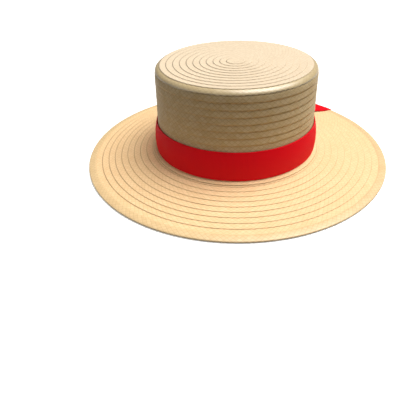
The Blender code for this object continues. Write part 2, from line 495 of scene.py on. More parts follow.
@dataclass(frozen=True)
class Plait:
    """Flat plait of straw, sewn round the hat in rows that lap over each other."""

    width: float = 0.0100
    thickness: float = 0.00045
    lap_drop: float = 0.00062  # how far the inner edge lies below the outer one
    relief: float = 0.00020
    rim_drop: float = 0.00015  # rounding of its two edges
    tooth: float = 0.00045  # depth of the notches where straws turn back
    wander: float = 0.00012  # how far a sewn row strays from its line
    period: float = 0.0060
    diamond: float = 0.0050
    top_steps: int = 8
    under_steps: int = 4
    period_steps: int = 4
    teeth_inside: bool = False
    waves: tuple[int, ...] = (3, 5, 11)  # counts round a row of the waves that it strays by
    row_shift: int = 8  # diamonds between the UVs of two rows, so that their tints differ

    def rows_of(self, length: float, first: float, pitch: float) -> np.ndarray:
        """Places of the rows' middles along a line, evenly spaced, the last at its end.

        Args:
            length: Length of the line.
            first: Place of the first row's middle.
            pitch: Spacing that the rows should come close to.

        Returns:
            Length along the line of each row's middle.
        """
        last = length - self.width / 2
        count = round((last - first) / pitch) + 1
        return np.linspace(first, last, count)

    def ring(self, line: Meridian, middle: float, number: int) -> MeshParts:
        """One closed row: the plait's section, carried round the hat's axis.

        A point lies at the line's point at middle + across, moved along the line's normal by
        minus the lean (lap_drop times the share of the width from the outer edge), minus the
        relief where the plait is low and, for the under side, minus the thickness. The outer
        edge is notched by a zigzag of one tooth a period.

        Args:
            line: The meridian that the row lies on.
            middle: Length along it of the row's middle.
            number: The row's number, which turns it and seeds its wander.

        Returns:
            The row's parts, a closed ring.
        """
        half = self.width / 2
        inset = self.rim_drop
        across = np.concatenate(
            [
                np.linspace(-half, half, self.top_steps + 1),
                np.linspace(half - inset, inset - half, self.under_steps + 1),
            ]
        )
        on_top = np.arange(len(across)) <= self.top_steps
        plaits = round(math.tau * float(line.at(np.array(middle))[0]) / self.period)
        steps = plaits * self.period_steps
        u, w = np.meshgrid(np.arange(steps) / self.period_steps, across, indexing="ij")
        height = plait_height(u, w / self.diamond)
        lean = self.lap_drop * (half - w) / self.width
        rim = self.rim_drop * (np.abs(w) > half - inset / 2)
        top = -lean - self.relief * (1 - height) - rim
        under = -lean - self.thickness + 0.5 * self.relief * (1 - height)
        out = np.where(on_top, top, under)
        notch = self.tooth * np.abs(2 * (u % 1.0) - 1)
        near_edge = np.clip((w - half) / (self.diamond / 2) + 1, 0, 1)
        if self.teeth_inside:
            near_edge = near_edge - np.clip((-w - half) / (self.diamond / 2) + 1, 0, 1)
        turn = math.tau * np.arange(steps) / steps
        stray = self.wander * self.waver(turn, number)
        along = middle + w - notch * near_edge + stray[:, None]
        spot = line.at(along) + line.normals(along) * out[..., None]
        angle = turn[:, None] + number * GOLDEN_ANGLE
        points = np.stack(
            [spot[..., 0] * np.cos(angle), spot[..., 0] * np.sin(angle), spot[..., 1]], axis=-1
        )
        return closed_ring(points, u, w / self.diamond + self.row_shift * number, plaits)

    def waver(self, turn: np.ndarray, number: int) -> np.ndarray:
        """Slow waver round a row: sines of random phase, between about -1 and 1.

        Args:
            turn: Angles round the row.
            number: The row's number, the random seed.

        Returns:
            The waver at each angle.
        """
        phases = np.random.default_rng(number).uniform(0, math.tau, len(self.waves))
        return sum(np.sin(n * turn + phase) for n, phase in zip(self.waves, phases)) / 2


def corner_uvs(first: list[np.ndarray], second: list[np.ndarray]) -> np.ndarray:
    """Each quad's corner UVs.

    Args:
        first: First UV values, an array of quads for each of the four corners.
        second: Second UV values, in the same way.

    Returns:
        Quads by corners by 2.
    """
    pairs = [np.stack(pair, axis=-1) for pair in zip(first, second)]
    return np.stack(pairs, axis=-2).reshape(-1, 4, 2)


def closed_ring(
    points: np.ndarray, u: np.ndarray, v: np.ndarray, full_turn: float
) -> MeshParts:
    """Quads over a grid that closes both ways: round the axis and round its section.

    Args:
        points: Grid of points, steps by section by 3.
        u: Each point's first UV value, which grows round the axis.
        v: Each point's second UV value.
        full_turn: What the first UV value comes to after the whole turn.

    Returns:
        The ring's parts, with faces that look outwards.
    """
    steps, section = points.shape[:2]
    number = np.arange(steps * section).reshape(steps, section)
    next_step = np.roll(number, -1, axis=0)
    corners = [number, np.roll(number, -1, axis=1), np.roll(next_step, -1, axis=1), next_step]
    far_u = np.roll(u, -1, axis=0)
    far_u[-1] = full_turn
    corner_u = [u, np.roll(u, -1, axis=1), np.roll(far_u, -1, axis=1), far_u]
    corner_v = [v, np.roll(v, -1, axis=1), np.roll(v, -1, axis=1), v]
    quads = np.stack(corners, axis=-1).reshape(-1, 4)
    return MeshParts(points.reshape(-1, 3), quads, corner_uvs(corner_u, corner_v))


def closed_sheet(front: np.ndarray, back: np.ndarray, u: np.ndarray, v: np.ndarray) -> MeshParts:
    """A thin closed body between two grids of points, with walls round its four borders.

    Its section is the front row out and the back row home, so the section closes, and two
    fans of quads close the ends between the same rows.

    Args:
        front: Grid of points on the face that is seen, rows by columns by 3.
        back: The other face, point for point.
        u: First UV value of each row.
        v: Second UV value of each column.

    Returns:
        The body's parts. Its faces look outwards where rows x columns points to the front.
    """
    rows, columns = front.shape[:2]
    section = np.concatenate([front, back[:, ::-1]], axis=1)
    number = np.arange(rows * 2 * columns).reshape(rows, 2 * columns)
    here, ahead = number[:-1], number[1:]
    sides = [here, ahead, np.roll(ahead, -1, axis=1), np.roll(here, -1, axis=1)]
    u_grid, v_grid = np.meshgrid(u, np.concatenate([v, v[::-1]]), indexing="ij")
    u_here, u_ahead = u_grid[:-1], u_grid[1:]
    v_here, v_next = v_grid[:-1], np.roll(v_grid, -1, axis=1)[:-1]
    quads = [np.stack(sides, axis=-1).reshape(-1, 4)]
    uvs = [corner_uvs([u_here, u_ahead, u_ahead, u_here], [v_here, v_here, v_next, v_next])]
    for row, order in ((0, 1), (-1, -1)):
        face = number[row, :columns]
        behind = number[row, ::-1][:columns]
        cap = np.stack([face[:-1], face[1:], behind[1:], behind[:-1]], axis=-1)[:, ::order]
        end_uv = np.stack([np.full(columns, u[row]), v], axis=-1)
        cap_uv = np.stack([end_uv[:-1], end_uv[1:], end_uv[1:], end_uv[:-1]], axis=1)
        quads.append(cap)
        uvs.append(cap_uv[:, ::order])
    return MeshParts(section.reshape(-1, 3), np.concatenate(quads), np.concatenate(uvs))


@dataclass(frozen=True)
class StrawFinish:
    """Stiffened wheat straw braid: split straws plaited flat, steamed, sewn and shellacked.

    Split straw has a glossy rind, so each diamond has fine fibres along its own straw and a
    soft shine of its own, and the joints between the straws are darker.
    """

    name: str
    light: str
    deep: str
    joint: str
    roughness: float = 0.55
    shine: float = 0.15  # the shellac, thicker where the straw is bent and pressed
    gloss_spread: float = 0.2  # how much the roughness varies with the fibres
    ior: float = 1.5
    fibres: float = 11.0  # across a straw of 3.8 mm: 0.35 mm each, twice as coarse as real ones
    fibre_rise: float = 0.00015
    patch_scale: float = 28.0  # per metre: light and deep patches about 36 mm wide
    diamond_share: float = 0.45  # how much of the tint comes from each of the three patterns
    fibre_share: float = 0.40
    patch_share: float = 0.30
    joint_width: float = 0.09  # width of the dark joints, in diamonds
    joint_cover: float = 0.45  # how much of the straw's own colour they keep

    def material(self) -> bpy.types.Material:
        """Builds the finish's node tree on the plait's own UV map, which is in diamonds.

        Returns:
            The material.
        """
        add, times = {"operation": "ADD"}, {"operation": "MULTIPLY"}
        floor, fold = {"operation": "FLOOR"}, {"operation": "PINGPONG"}
        solid_noise = {"noise_dimensions": "3D"}
        fine_inputs = {"Vector": "way", "Scale": 1.0, "Detail": 2.0, "Roughness": 0.6}
        patch_inputs = {"Vector": "place", "Scale": self.patch_scale, "Detail": 3.0}
        straw_tints = {6: linear_colour(self.light), 7: linear_colour(self.deep)}
        cover = {"From Min": 0.0, "From Max": self.joint_width, "To Min": self.joint_cover}
        bump_inputs = {"Height": "fibre", "Strength": 0.5, "Distance": self.fibre_rise}
        least_rough = self.roughness - self.gloss_spread / 2
        rows = [
            NodeRow("uv", "UVMap", {"uv_map": PLAIT_UV}, {}),
            NodeRow("along", "SeparateXYZ", {}, {0: "uv"}, "X"),
            NodeRow("across", "SeparateXYZ", {}, {0: "uv"}, "Y"),
            NodeRow("rising", "Math", add, {0: "along", 1: "across"}),
            NodeRow("falling", "Math", {"operation": "SUBTRACT"}, {0: "along", 1: "across"}),
            # Each diamond has a number of its own, and it is a straw of one or the other way.
            NodeRow("rising cell", "Math", floor, {0: "rising"}),
            NodeRow("falling cell", "Math", floor, {0: "falling"}),
            NodeRow("cell", "CombineXYZ", {}, {0: "rising cell", 1: "falling cell"}),
            NodeRow(
                "tint", "TexWhiteNoise", {"noise_dimensions": "2D"}, {"Vector": "cell"}, "Value"
            ),
            NodeRow("cell sum", "Math", add, {0: "rising cell", 1: "falling cell"}),
            NodeRow("parity", "Math", {"operation": "FLOORED_MODULO"}, {0: "cell sum", 1: 2.0}),
            # Fibres: noise that is stretched along the diamond's straw.
            NodeRow("fine rising", "Math", times, {0: "rising", 1: self.fibres}),
            NodeRow("fine falling", "Math", times, {0: "falling", 1: self.fibres}),
            NodeRow("one way", "CombineXYZ", {}, {0: "fine rising", 1: "falling", 2: "tint"}),
            NodeRow("other way", "CombineXYZ", {}, {0: "fine falling", 1: "rising", 2: "tint"}),
            NodeRow(
                "way",
                "Mix",
                {"data_type": "VECTOR"},
                {"Factor": "parity", 4: "one way", 5: "other way"},
                1,
            ),
            NodeRow("fibre", "TexNoise", solid_noise, fine_inputs, "Fac"),
            NodeRow("place", "TexCoord", {}, {}, "Object"),
            NodeRow("patch", "TexNoise", solid_noise, patch_inputs, "Fac"),
            # Depth of the tint: the diamond's own, its fibres and the patches, added up.
            NodeRow("tint part", "Math", times, {0: "tint", 1: self.diamond_share}),
            NodeRow("fibre part", "Math", times, {0: "fibre", 1: self.fibre_share}),
            NodeRow("patch part", "Math", times, {0: "patch", 1: self.patch_share}),
            NodeRow("fine depth", "Math", add, {0: "fibre part", 1: "patch part"}),
            NodeRow("depth", "Math", add, {0: "tint part", 1: "fine depth"}),
            NodeRow("straw", "Mix", {"data_type": "RGBA"}, {"Factor": "depth", **straw_tints}, 2),
            # Joints: dark where a diamond's border is near.
            NodeRow("to one", "Math", fold, {0: "rising", 1: 0.5}),
            NodeRow("to other", "Math", fold, {0: "falling", 1: 0.5}),
            NodeRow("border", "Math", {"operation": "MINIMUM"}, {0: "to one", 1: "to other"}),
            NodeRow(
                "open face",
                "MapRange",
                {"interpolation_type": "SMOOTHSTEP"},
                {"Value": "border", **cover},
            ),
            NodeRow(
                "colour",
                "Mix",
                {"data_type": "RGBA"},
                {"Factor": "open face", 6: linear_colour(self.joint), 7: "straw"},
                2,
            ),
            NodeRow("gloss", "Math", times, {0: "fibre", 1: self.gloss_spread}),
            NodeRow("rough", "Math", add, {0: "gloss", 1: least_rough}),
            NodeRow("bump", "Bump", {}, bump_inputs),
        ]
        inputs = {
            "Base Color": "colour",
            "Roughness": "rough",
            "Normal": "bump",
            "IOR": self.ior,
            "Specular IOR Level": self.shine,
        }
        return build_material(self.name, rows, inputs, self.light)


@dataclass(frozen=True)
class GrosgrainFinish:
    """Woven grosgrain ribbon: fine silky warp over thick weft ribs.

    The ribs are in the mesh, with painted shade in the valleys between them. The warp gives fine
    lines along the ribbon and a soft sheen.
    """

    name: str = "grosgrain ribbon"
    colour: str = "#F0021A"
    # Colour of the painted shade in the valleys between the ribs.
    valley_shade: str = "#B40113"
    warp: float = 2.2  # warp lines per millimetre, about half as many as real ones
    warp_rise: float = 0.0001
    warp_share: float = 0.3  # how much the warp lightens the colour
    valley_shade_level: float = 0.4  # how light the painted shade leaves the valleys between the ribs
    roughness: float = 0.55
    shine: float = 0.15
    sheen: float = 0.08
    sheen_roughness: float = 0.4

    def material(self) -> bpy.types.Material:
        """Builds the finish's node tree on the ribbon's own UV map, in ribs and millimetres.

        Returns:
            The material.
        """
        tints = {6: linear_colour(self.valley_shade), 7: linear_colour(self.colour)}
        rows = [
            NodeRow("uv", "UVMap", {"uv_map": RIBBON_UV}, {}),
            NodeRow("along", "SeparateXYZ", {}, {0: "uv"}, "X"),
            NodeRow("across", "SeparateXYZ", {}, {0: "uv"}, "Y"),
            NodeRow("warp", "Math", {"operation": "MULTIPLY"}, {0: "across", 1: self.warp}),
            NodeRow("threads", "CombineXYZ", {}, {0: "along", 1: "warp"}),
            NodeRow(
                "weave",
                "TexNoise",
                {"noise_dimensions": "2D"},
                {"Vector": "threads", "Scale": 1.0, "Detail": 2.0},
                "Fac",
            ),
            NodeRow("rib", "Math", {"operation": "PINGPONG"}, {0: "along", 1: 0.5}),
            # Painted shade: darker in the valleys between the ribs, full colour on their crests.
            NodeRow(
                "crest",
                "MapRange",
                {"interpolation_type": "SMOOTHSTEP"},
                {"Value": "rib", "From Min": 0.5, "From Max": 0.2, "To Min": self.valley_shade_level},
            ),
            NodeRow(
                "share",
                "Math",
                {"operation": "MULTIPLY_ADD"},
                {0: "weave", 1: self.warp_share, 2: "crest"},
            ),
            NodeRow("colour", "Mix", {"data_type": "RGBA"}, {"Factor": "share", **tints}, 2),
            NodeRow(
                "bump", "Bump", {}, {"Height": "weave", "Strength": 0.4, "Distance": self.warp_rise}
            ),
        ]
        inputs = {
            "Base Color": "colour",
            "Normal": "bump",
            "Roughness": self.roughness,
            "Specular IOR Level": self.shine,
            "Sheen Weight": self.sheen,
            "Sheen Roughness": self.sheen_roughness,
            "Sheen Tint": linear_colour(self.colour),
        }
        return build_material(self.name, rows, inputs, self.colour)


@dataclass
class StrawCrown:
    """Crown of the hat: rows of plait from the button in the middle of the tip to the foot."""

    form: HatForm
    plait: Plait = field(default_factory=Plait)
    first_row: float = 0.0060
    pitch: float = 0.0075
    tip_end: float = 0.0875  # rows whose outer edge is nearer than this belong to the tip
    corner_end: float = 0.0975  # and those nearer than this to the rounded corner
    button_radius: float = 0.0036
    button_steps: int = 12
    button_drop: float = 0.0003
    button_curls: int = 3

    def build(
        self,
        tip: bpy.types.Material,
        corner: bpy.types.Material,
        side: bpy.types.Material,
        foot: bpy.types.Material,
    ) -> None:
        """Makes the tip and its button, the rounded corner, the side and the foot, one row.

        Args:
            tip: Finish of the tip.
            corner: Finish of the rounded corner, a darker copy of the straw: painted shade.
            side: Finish of the side, a darker copy of the straw: painted shade.
            foot: Finish of the foot, which lies on the brim.
        """
        line = self.form.crown_meridian()
        rows = self.plait.rows_of(line.length, self.first_row, self.pitch)
        rings = [self.plait.ring(line, middle, number) for number, middle in enumerate(rows)]
        ends = rows + self.plait.width / 2
        flat = int(np.sum(ends < self.tip_end))
        bent = int(np.sum(ends < self.corner_end))
        groups = (
            ("crown_tip_braid", rings[:flat] + [self.button()], tip, "crown_tip"),
            ("crown_corner_braid", rings[flat:bent], corner),
            ("crown_side_braid", rings[bent:-1], side, "crown_side"),
            ("crown_foot_braid", rings[-1:], foot),
        )
        for name, group, finish, *nodes in groups:
            place_piece(MeshParts.joined(group), name, Slot.STRAW, finish, *nodes)

    def button(self) -> MeshParts:
        """Start of the plait, curled into a small domed disc over the first row.

        A square grid is rounded onto a disc by scaling each point by its larger side over
        its distance, so the disc has no pole. Its face is a shallow dome that meets the under
        side at the rim.

        Returns:
            The disc's parts, closed.
        """
        share = np.linspace(-1, 1, self.button_steps + 1)
        x, y = np.meshgrid(share, share, indexing="ij")
        reach = np.hypot(x, y)
        scale = np.divide(np.maximum(np.abs(x), np.abs(y)), reach, where=reach > 0)
        scale[reach == 0] = 0.0
        x, y = x * scale * self.button_radius, y * scale * self.button_radius
        out = np.hypot(x, y) / self.button_radius
        half_relief = self.plait.relief / 2
        curl = half_relief * np.cos(self.button_curls * math.pi * out)
        top = self.form.tip_height - half_relief - self.button_drop * out**4 + curl
        under = np.full_like(top, self.form.tip_height - self.plait.thickness)
        face = np.stack([x, y, top], axis=-1)
        back = np.stack([x, y, under], axis=-1)
        return closed_sheet(face, back, share, share)


@dataclass
class StrawBrim:
    """Brim: a flat plate of plait rows, and a wider plait folded over its edge."""

    form: HatForm
    plait: Plait = field(default_factory=Plait)
    pitch: float = 0.0075
    edge_thickness: float = 0.0005
    edge_diamonds: float = 4.0
    edge_steps: int = 28
    first_seed: int = 40  # random seed of the first row
    edge_seed: int = 60

    def build(self, straw: bpy.types.Material, edge: bpy.types.Material) -> None:
        """Makes the plate and its bound edge.

        Args:
            straw: Finish of the plate.
            edge: Finish of the bound edge, a darker copy of the brim's straw: painted shade.
        """
        line = self.form.brim_meridian()
        rows = self.plait.rows_of(line.length, self.plait.width / 2, self.pitch)
        rings = [
            self.plait.ring(line, middle, self.first_seed + number)
            for number, middle in enumerate(rows)
        ]
        place_piece(MeshParts.joined(rings), "brim_braid", Slot.STRAW, straw, "brim")
        fold = self.form.edge_meridian()
        ring = self.bound_plait(fold.length).ring(fold, fold.length / 2, self.edge_seed)
        place_piece(ring, "brim_edge_braid", Slot.STRAW_EDGE, edge, "brim_edge")

    def bound_plait(self, width: float) -> Plait:
        """The plait that is folded over the edge, as wide as the fold is long.

        Args:
            width: Length of the fold's outside.

        Returns:
            The plait, with no lap and with notches on both edges.
        """
        return Plait(
            width=width,
            thickness=self.edge_thickness,
            lap_drop=0.0,
            wander=0.0,
            diamond=width / self.edge_diamonds,
            top_steps=self.edge_steps,
            under_steps=self.edge_steps // 2,
            teeth_inside=True,
        )


def ribbon_body(
    centre: np.ndarray, thickness: float, ribs: np.ndarray, across: np.ndarray, width: float
) -> MeshParts:
    """A grosgrain ribbon along a grid of points: ribs across it, a smooth bead at each edge.

    Each face lies half the thickness from the grid, along the grid's normal, which is its
    row tangent x column tangent. A cosine of one wave a rib thickens it, and fades out in
    the bead, which is a little thicker.

    Args:
        centre: Grid of points in the middle of the cloth, rows by columns by 3.
        thickness: Thickness of the ribbon.
        ribs: How many ribs lie before each row.
        across: Each column's place across the ribbon, from -0.5 to 0.5.
        width: Width of the ribbon.

    Returns:
        The ribbon's parts, closed.
    """
    along_way = np.gradient(centre, axis=0)
    across_way = np.gradient(centre, axis=1)
    normal = np.cross(along_way, across_way)
    normal /= np.linalg.norm(normal, axis=-1, keepdims=True)
    half = thickness / 2 + rib_profile(ribs[:, None], across[None, :], width)
    front = centre + normal * half[..., None]
    back = centre - normal * half[..., None]
    return closed_sheet(front, back, ribs, across * width / MILLIMETRE)


def rib_profile(ribs: np.ndarray, across: np.ndarray, width: float) -> np.ndarray:
    """How far a ribbon's face stands out: a cosine over the ribs, level in the edge beads.

    Args:
        ribs: How many ribs lie before each point.
        across: Place across the ribbon, from -0.5 to 0.5.
        width: Width of the ribbon.

    Returns:
        The rise at each point.
    """
    from_edge = (0.5 - np.abs(across)) * width
    inside = blend(from_edge, 0.4 * BEAD_WIDTH, BEAD_WIDTH)
    wave = RIB_RISE * np.cos(math.tau * ribs)
    bead = BEAD_RISE * (1 - inside) * blend(from_edge, -0.1 * BEAD_WIDTH, 0.5 * BEAD_WIDTH)
    return wave * inside + bead


def rib_stations(path: np.ndarray) -> tuple[np.ndarray, np.ndarray, float]:
    """Even stations along a ribbon's path, RIB_STEPS of them to a rib.

    Args:
        path: Points of the path in a plane, at even shares from 0 to 1.

    Returns:
        The share at each station, the ribs that lie before it, and the path's length.
    """
    run = length_run(path)
    even = np.linspace(0, run[-1], round(run[-1] / RIB_PITCH * RIB_STEPS) + 1)
    shares = np.interp(even, run, np.linspace(0, 1, len(path)))
    return shares, even / RIB_PITCH, float(run[-1])


def ribbon_columns(width: float, inner: int) -> np.ndarray:
    """Places of a ribbon's columns across it: even ones inside, close ones in the beads.

    Args:
        width: Width of the ribbon.
        inner: Number of steps between the beads.

    Returns:
        Places from -0.5 to 0.5.
    """
    bead = BEAD_WIDTH / width
    edge = np.array([0.0, 0.3, 0.7]) * bead
    middle = np.linspace(-0.5 + bead, 0.5 - bead, inner + 1)
    return np.concatenate([-0.5 + edge, middle, 0.5 - edge[::-1]])


@dataclass
class HatBand:
    """Grosgrain band, pulled tight round the foot of the crown."""

    form: HatForm
    cloth: bpy.types.Material
    inner_steps: int = 6
    edge_wave: float = 0.00015
    edge_waves: tuple[int, int] = (9, 4)  # counts round the hat of the two that it multiplies
    settle: float = 0.0009  # how much lower its lower edge lies than the solid band's
    belly: float = 0.0018  # how far its middle stands out, away from the bow
    belly_turn: tuple[float, float] = (0.7, 1.3)  # from the bow, where that starts and is full

    def build(self) -> None:
        """The radius is the crown's plus the clearance and the rib profile, and the edges wave
        up and down a little as the stitches hold them.
        """
        form = self.form
        foot = form.band_foot - self.settle
        width = form.band_top - foot
        middle = (form.band_top + foot) / 2
        girth = math.tau * float(form.band_radius(form.bow_height))
        count = round(girth / RIB_PITCH)
        ribs = np.arange(count * RIB_STEPS) / RIB_STEPS
        across = ribbon_columns(width, self.inner_steps)
        section = np.concatenate([across, across[::-1]])
        outside = np.arange(len(section)) < len(across)
        u, w = np.meshgrid(ribs, section, indexing="ij")
        turn = math.tau * u / count
        many, few = self.edge_waves
        wave = self.edge_wave * np.sin(many * turn + 1.0) * np.sin(few * turn)
        height = middle - w * width + wave * np.abs(2 * w) ** 3
        rise = rib_profile(u, w, width)
        near = form.side_radius(height) + form.gap + 2 * RIB_RISE - rise
        far = form.band_radius(height) - RIB_RISE + rise
        from_bow = np.abs((turn - math.pi / 2 + math.pi) % math.tau - math.pi)
        belly = self.belly * (1 - (2 * w) ** 2) * blend(from_bow, *self.belly_turn)
        radius = np.where(outside, far, near) + belly
        points = np.stack([radius * np.cos(turn), radius * np.sin(turn), height], axis=-1)
        parts = closed_ring(points, u, w * width / MILLIMETRE, count)
        band = place_piece(parts, "ribbon_band_cloth", Slot.RIBBON, self.cloth, "ribbon_band")


@dataclass(frozen=True)
class SectionRow:
    """A row of a table of sections, as shares of the length, depth and width."""

    along: float
    depth: float
    width: float


def smooth_rows(table: tuple[SectionRow, ...], share: np.ndarray) -> np.ndarray:
    """Values of a table on a smooth curve through its rows (Catmull-Rom).

    Between two rows the curve is the cubic whose ends are the rows and whose slopes there
    are half the step from the row before to the row after.

    Args:
        table: The rows.
        share: Where to read it, from 0 to 1.

    Returns:
        Along, depth and width in three columns, one row for each share.
    """
    values = np.array([(row.along, row.depth, row.width) for row in table])
    spot = np.asarray(share) * (len(table) - 1)
    index = np.minimum(spot.astype(int), len(table) - 2)
    t = (spot - index)[:, None]
    a = values[np.maximum(index - 1, 0)]
    b, c = values[index], values[index + 1]
    d = values[np.minimum(index + 2, len(table) - 1)]
    cubic = (2 * a - 5 * b + 4 * c - d) * t**2 + (3 * b - a - 3 * c + d) * t**3
    return (2 * b + (c - a) * t + cubic) / 2


@dataclass
class FlatBow:
    """Flat bow at the back of the band: two loops and a wrap over their middle."""

    form: HatForm
    cloth: bpy.types.Material
    loop_length: float = 0.0540
    loop_width: float = 0.0280
    loop_depth: float = 0.0075
    knot_width: float = 0.0150
    knot_depth: float = 0.0085
    thickness: float = 0.0007
    pleat_rise: float = 0.0009
    loop_pleats: int = 3  # pleats across a loop's ribbon
    pleat_run: tuple[float, float] = (0.05, 0.75)  # shares of a loop where they start and end
    front_turn: tuple[float, float] = (0.5, 0.6)  # shares of its path where its front starts
    knot_pleats: int = 2
    knot_front: tuple[float, float] = (0.5, 0.9)  # shares of its depth where its front starts
    belly: float = 0.0006  # how far a loop's front stands out half way along
    loop_steps: int = 14
    knot_steps: int = 10
    path_points: int = 801
    loop_rows: tuple[SectionRow, ...] = (
        SectionRow(0.03, 0.16, 0.84),
        SectionRow(0.22, 0.12, 0.93),
        SectionRow(0.55, 0.11, 1.00),
        SectionRow(0.86, 0.11, 1.00),
        SectionRow(0.98, 0.22, 1.00),
        SectionRow(1.00, 0.52, 1.00),
        SectionRow(0.97, 0.80, 1.00),
        SectionRow(0.84, 0.93, 1.00),
        SectionRow(0.55, 0.93, 1.00),
        SectionRow(0.22, 0.78, 0.93),
        SectionRow(0.03, 0.62, 0.84),
    )
    knot_rows: tuple[SectionRow, ...] = (
        SectionRow(1.00, 0.08, 1.00),
        SectionRow(1.00, 0.45, 1.00),
        SectionRow(0.96, 0.84, 0.96),
        SectionRow(0.80, 0.94, 0.90),
        SectionRow(0.00, 0.94, 0.84),
        SectionRow(-0.80, 0.94, 0.90),
        SectionRow(-0.96, 0.84, 0.96),
        SectionRow(-1.00, 0.45, 1.00),
        SectionRow(-1.00, 0.08, 1.00),
    )

    def on_band(self, along: np.ndarray, out: np.ndarray, height: np.ndarray) -> np.ndarray:
        """Points at an arc length from the middle of the bow and a way out from the band.

        Args:
            along: Arc length, positive towards the wearer's left.
            out: Distance out from the band's surface.
            height: Height above the floor.

        Returns:
            The points, with x, y and z in the last axis.
        """
        turn = along / float(self.form.band_radius(self.form.bow_height))
        radius = self.form.band_radius(height) + out
        return np.stack([radius * np.sin(turn), radius * np.cos(turn), height], axis=-1)

    def build(self) -> None:
        """Makes both loops and the knot."""
        for side in Side:
            self.loop(side)
        self.knot()

    def stations(
        self, table: tuple[SectionRow, ...], sizes: tuple[float, float]
    ) -> tuple[np.ndarray, np.ndarray, float]:
        """Even stations along a table's path.

        Args:
            table: The table of sections.
            sizes: Its length and depth.

        Returns:
            What rib_stations gives.
        """
        rows = smooth_rows(table, np.linspace(0, 1, self.path_points))
        return rib_stations(rows[:, :2] * np.array(sizes))

    def loop(self, side: Side) -> None:
        """One loop: a ribbon that runs out along the band, folds and comes back over itself.

        Its grid is the table's path times the loop's sizes, laid on the band. Pleats are a
        cosine across the ribbon that grows towards the knot, where the wrap gathers it.

        Args:
            side: Which loop.
        """
        sizes = (self.loop_length, self.loop_depth)
        shares, ribs, path = self.stations(self.loop_rows, sizes)
        across = ribbon_columns(self.loop_width, self.loop_steps)
        along, depth, width = smooth_rows(self.loop_rows, shares).T[:, :, None]
        gather = 1 - blend(along, *self.pleat_run)
        ease = blend(shares[:, None], *self.front_turn)
        wave = np.cos(math.tau * self.loop_pleats * across[None, :]) - 1
        pleats = self.pleat_rise * gather * ease * wave
        belly = self.belly * ease * np.sin(math.pi * np.clip(along, 0, 1))
        belly = belly * np.cos(math.pi * across)
        out = depth * self.loop_depth + pleats / 2 + belly
        height = self.form.bow_height + side.value * across * width * self.loop_width
        grid = self.on_band(side.value * along * self.loop_length + 0 * height, out, height)
        parts = ribbon_body(grid, self.thickness, ribs, across, self.loop_width)
        name = f"bow_loop_{side.word}"
        piece = place_piece(parts, f"{name}_cloth", Slot.RIBBON, self.cloth, name)

    def knot(self) -> None:
        """The wrap over the loops' inner ends, turned in to the band above and below."""
        pinched = self.loop_rows[0].width * self.loop_width / 2
        half_height = pinched + 2 * self.form.gap + self.form.ribbon_wall
        sizes = (half_height, self.knot_depth)
        shares, ribs, path = self.stations(self.knot_rows, sizes)
        across = ribbon_columns(self.knot_width, self.knot_steps)
        along, depth, width = smooth_rows(self.knot_rows, shares).T[:, :, None]
        wave = np.cos(math.tau * self.knot_pleats * across[None, :]) - 1
        fold = 0.5 * self.pleat_rise * wave / 2
        out = depth * self.knot_depth + fold * blend(depth, *self.knot_front)
        height = self.form.bow_height + along * half_height + 0 * across
        grid = self.on_band(across * width * self.knot_width, out, height)
        parts = ribbon_body(grid, self.thickness, ribs, across, self.knot_width)
        piece = place_piece(parts, "bow_knot_cloth", Slot.RIBBON, self.cloth, "bow_knot")


